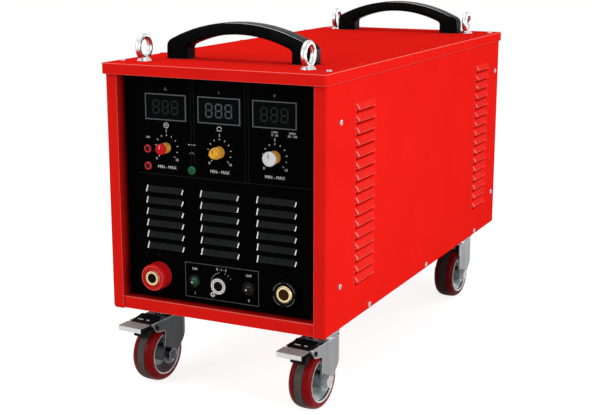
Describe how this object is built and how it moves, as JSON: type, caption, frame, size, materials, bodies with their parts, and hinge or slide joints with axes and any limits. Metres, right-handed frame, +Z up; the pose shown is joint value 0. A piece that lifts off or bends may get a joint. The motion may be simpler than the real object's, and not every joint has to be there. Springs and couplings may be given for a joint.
{
  "type": "stud welding machine",
  "caption": "Welding power source in a louvred sheet-steel cabinet with meters, knobs and output sockets on its front, arch handles and lifting eyes on its lid, on braked swivel casters.",
  "frame": {"origin": "bottom centre of the whole machine, on the floor under its middle", "axes": "+Z up, the control panel faces -Y, +X to the right of someone facing the panel"},
  "size_m": [0.41, 0.9326, 0.617],
  "materials": {
    "red_painted_sheet": "smooth gloss red powder coat on folded steel",
    "black_painted_sheet": "satin black powder coat",
    "black_moulding": "satin black moulded nylon",
    "breaker_moulding": "matt dark grey moulding",
    "zinc_plated_steel": "bright zinc plated pressed steel",
    "polished_steel": "polished plated steel",
    "turned_brass": "turned brass",
    "red_moulding": "glossy red moulding",
    "yellow_moulding": "glossy yellow moulding",
    "white_moulding": "glossy white moulding",
    "meter_frame": "grey moulded rim",
    "meter_window": "smoked acrylic",
    "red_lens": "clear red moulding",
    "green_lens": "clear green moulding",
    "wheel_metal": "cast and turned wheel centre",
    "wheel_tyre": "dark red polyurethane with a grey running band",
    "core_steel": "varnished laminated steel",
    "copper": "enamelled and bare copper",
    "sink_aluminium": "extruded aluminium",
    "circuit_board": "green board laminate"
  },
  "bodies": {
    "cabinet": {"base_tray": "red_painted_sheet", "left_side_panel": "red_painted_sheet", "right_side_panel": "red_painted_sheet", "top_cover": "red_painted_sheet", "inner_frame": "zinc_plated_steel", "front_handle": "black_moulding", "rear_handle": "black_moulding", "lifting_eyes": "polished_steel", "cabinet_screws": "zinc_plated_steel", "control_panel": "black_painted_sheet", "louvre_panel": "black_painted_sheet", "rear_panel": "black_painted_sheet", "meter_housings": "meter_frame", "meter_windows": "meter_window", "potentiometers": "black_moulding", "red_lamps": "red_lens", "green_lamps": "green_lens", "selector_switch": "black_moulding", "positive_socket": "red_moulding", "negative_socket": "black_moulding", "socket_contacts": "turned_brass", "fan_frame": "black_moulding", "fan_guard": "zinc_plated_steel", "cable_gland": "black_moulding", "power_breaker": "breaker_moulding", "transformer_core": "core_steel", "transformer_windings": "copper", "output_choke": "core_steel", "heat_sink": "sink_aluminium", "rectifier_modules": "black_moulding", "control_board": "circuit_board", "busbars": "copper", "caster_plates": "zinc_plated_steel", "caster_bolts": "zinc_plated_steel"},
    "current_knob": {"current_knob": "turned_brass", "current_knob_cap": "red_moulding"},
    "time_knob": {"time_knob": "yellow_moulding"},
    "voltage_knob": {"voltage_knob": "turned_brass", "voltage_knob_cap": "white_moulding"},
    "mode_selector": {"mode_selector": "polished_steel"},
    "fan_rotor": {"fan_rotor": "black_moulding"},
    "breaker_lever": {"breaker_lever": "breaker_moulding"},
    "front_left_swivel": {"front_left_fork": "zinc_plated_steel", "front_left_axle": "zinc_plated_steel"},
    "front_left_wheel": {"front_left_hub": "wheel_metal", "front_left_tyre": "wheel_tyre"},
    "front_left_pedal": {"front_left_pedal": "zinc_plated_steel"},
    "front_right_swivel": {"front_right_fork": "zinc_plated_steel", "front_right_axle": "zinc_plated_steel"},
    "front_right_wheel": {"front_right_hub": "wheel_metal", "front_right_tyre": "wheel_tyre"},
    "front_right_pedal": {"front_right_pedal": "zinc_plated_steel"},
    "rear_left_swivel": {"rear_left_fork": "zinc_plated_steel", "rear_left_axle": "zinc_plated_steel"},
    "rear_left_wheel": {"rear_left_hub": "wheel_metal", "rear_left_tyre": "wheel_tyre"},
    "rear_right_swivel": {"rear_right_fork": "zinc_plated_steel", "rear_right_axle": "zinc_plated_steel"},
    "rear_right_wheel": {"rear_right_hub": "wheel_metal", "rear_right_tyre": "wheel_tyre"}
  },
  "joints": [
    {"name": "current_turn", "type": "hinge", "parent": "cabinet", "child": "current_knob", "pos_m": [-0.1, -0.43071, 0.415], "axis": [0, 1, 0], "range_deg": [-140, 140]},
    {"name": "time_turn", "type": "hinge", "parent": "cabinet", "child": "time_knob", "pos_m": [0, -0.43071, 0.415], "axis": [0, 1, 0], "range_deg": [-140, 140]},
    {"name": "voltage_turn", "type": "hinge", "parent": "cabinet", "child": "voltage_knob", "pos_m": [0.1, -0.43071, 0.415], "axis": [0, 1, 0], "range_deg": [-140, 140]},
    {"name": "mode_turn", "type": "hinge", "parent": "cabinet", "child": "mode_selector", "pos_m": [0, -0.43071, 0.193], "axis": [0, 1, 0], "range_deg": [0, 90]},
    {"name": "breaker_tip", "type": "hinge", "parent": "cabinet", "child": "breaker_lever", "pos_m": [-0.095, 0.43729, 0.42], "axis": [1, 0, 0], "range_deg": [0, 44]},
    {"name": "fan_spin", "type": "hinge", "parent": "cabinet", "child": "fan_rotor", "pos_m": [0.06, 0.43329, 0.385], "axis": [0, 1, 0], "continuous": true},
    {"name": "front_left_swivel", "type": "hinge", "parent": "cabinet", "child": "front_left_swivel", "pos_m": [-0.138, -0.35271, 0.115], "axis": [0, 0, 1], "continuous": true},
    {"name": "front_left_roll", "type": "hinge", "parent": "front_left_swivel", "child": "front_left_wheel", "pos_m": [-0.14051, -0.38862, 0.05], "axis": [0.9976, -0.0698, 0], "continuous": true},
    {"name": "front_left_brake", "type": "hinge", "parent": "front_left_swivel", "child": "front_left_pedal", "pos_m": [-0.14278, -0.42104, 0.1055], "axis": [0.9976, -0.0698, 0], "range_deg": [0, 12]},
    {"name": "front_right_swivel", "type": "hinge", "parent": "cabinet", "child": "front_right_swivel", "pos_m": [0.16, -0.35271, 0.115], "axis": [0, 0, 1], "continuous": true},
    {"name": "front_right_roll", "type": "hinge", "parent": "front_right_swivel", "child": "front_right_wheel", "pos_m": [0.15749, -0.38862, 0.05], "axis": [0.9976, -0.0698, 0], "continuous": true},
    {"name": "front_right_brake", "type": "hinge", "parent": "front_right_swivel", "child": "front_right_pedal", "pos_m": [0.15522, -0.42104, 0.1055], "axis": [0.9976, -0.0698, 0], "range_deg": [0, 12]},
    {"name": "rear_left_swivel", "type": "hinge", "parent": "cabinet", "child": "rear_left_swivel", "pos_m": [-0.138, 0.34229, 0.115], "axis": [0, 0, 1], "continuous": true},
    {"name": "rear_left_roll", "type": "hinge", "parent": "rear_left_swivel", "child": "rear_left_wheel", "pos_m": [-0.14051, 0.30638, 0.05], "axis": [0.9976, -0.0698, 0], "continuous": true},
    {"name": "rear_right_swivel", "type": "hinge", "parent": "cabinet", "child": "rear_right_swivel", "pos_m": [0.16, 0.34229, 0.115], "axis": [0, 0, 1], "continuous": true},
    {"name": "rear_right_roll", "type": "hinge", "parent": "rear_right_swivel", "child": "rear_right_wheel", "pos_m": [0.15749, 0.30638, 0.05], "axis": [0.9976, -0.0698, 0], "continuous": true}
  ]
}
